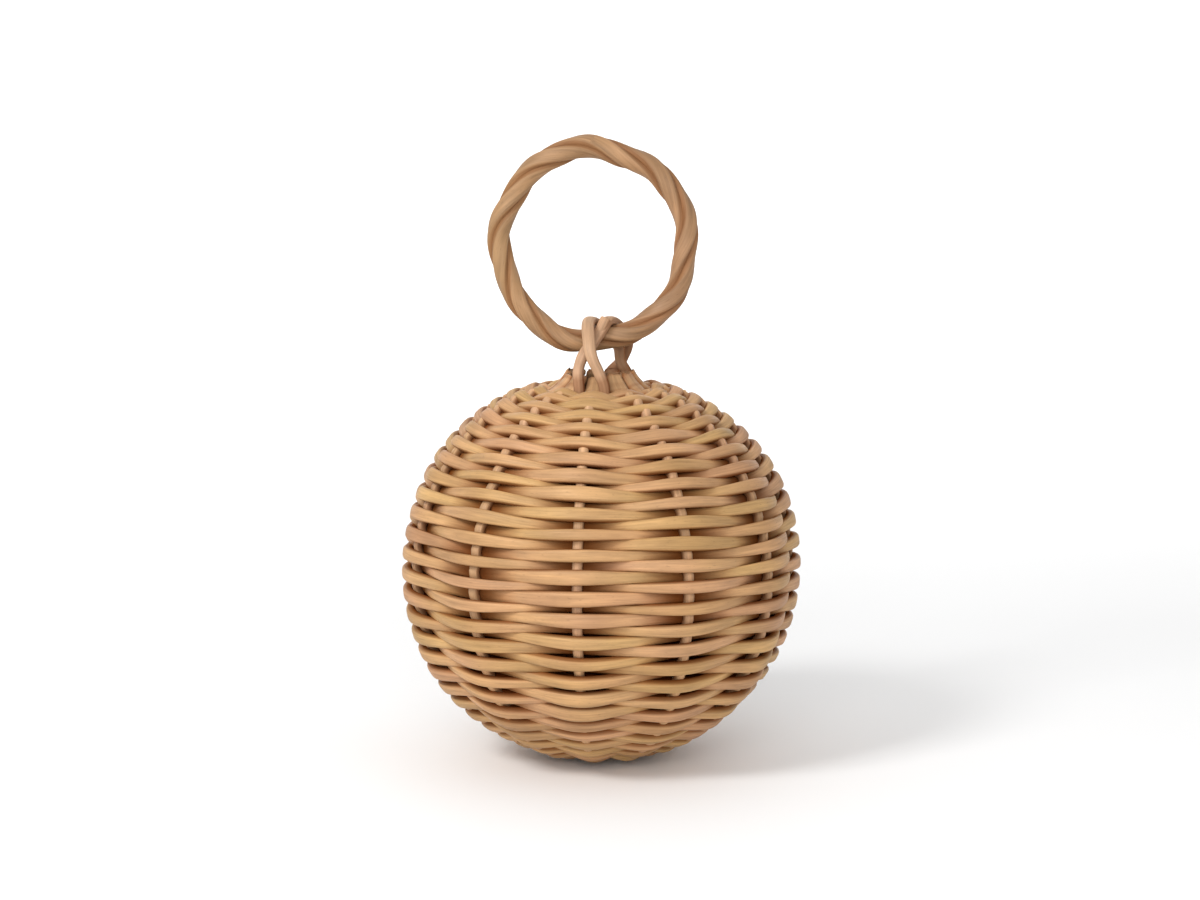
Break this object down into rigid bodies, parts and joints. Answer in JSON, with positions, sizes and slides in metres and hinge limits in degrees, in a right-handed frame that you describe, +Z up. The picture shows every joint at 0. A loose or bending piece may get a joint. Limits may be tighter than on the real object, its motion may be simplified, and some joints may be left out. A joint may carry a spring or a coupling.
{
  "type": "woven ball ornament",
  "caption": "Hollow ball woven from round cane on upright stakes, with a twisted bail on its crown and a twisted hanging ring linked through it.",
  "frame": {"origin": "middle of the underside, on the surface that the ball stands on", "axes": "+Z up through the bail and the ring, -Y towards the front, where the ring shows its full round"},
  "size_m": [0.121, 0.1218, 0.1896],
  "materials": {
    "weaver_cane": "natural peeled rattan core, satin",
    "stake_cane": "natural peeled rattan core, satin",
    "bail_cane": "natural peeled rattan core, satin",
    "ring_cane": "natural peeled rattan core, satin"
  },
  "bodies": {
    "root": {"weaver_1": "weaver_cane", "weaver_2": "weaver_cane", "weaver_3": "weaver_cane", "weaver_4": "weaver_cane", "weaver_5": "weaver_cane", "rod_1": "stake_cane", "rod_2": "stake_cane", "rod_3": "stake_cane", "rod_4": "stake_cane", "rod_5": "stake_cane", "rod_6": "stake_cane", "bail_strand_1": "bail_cane", "bail_strand_2": "bail_cane", "ring": "ring_cane"}
  },
  "joints": []
}
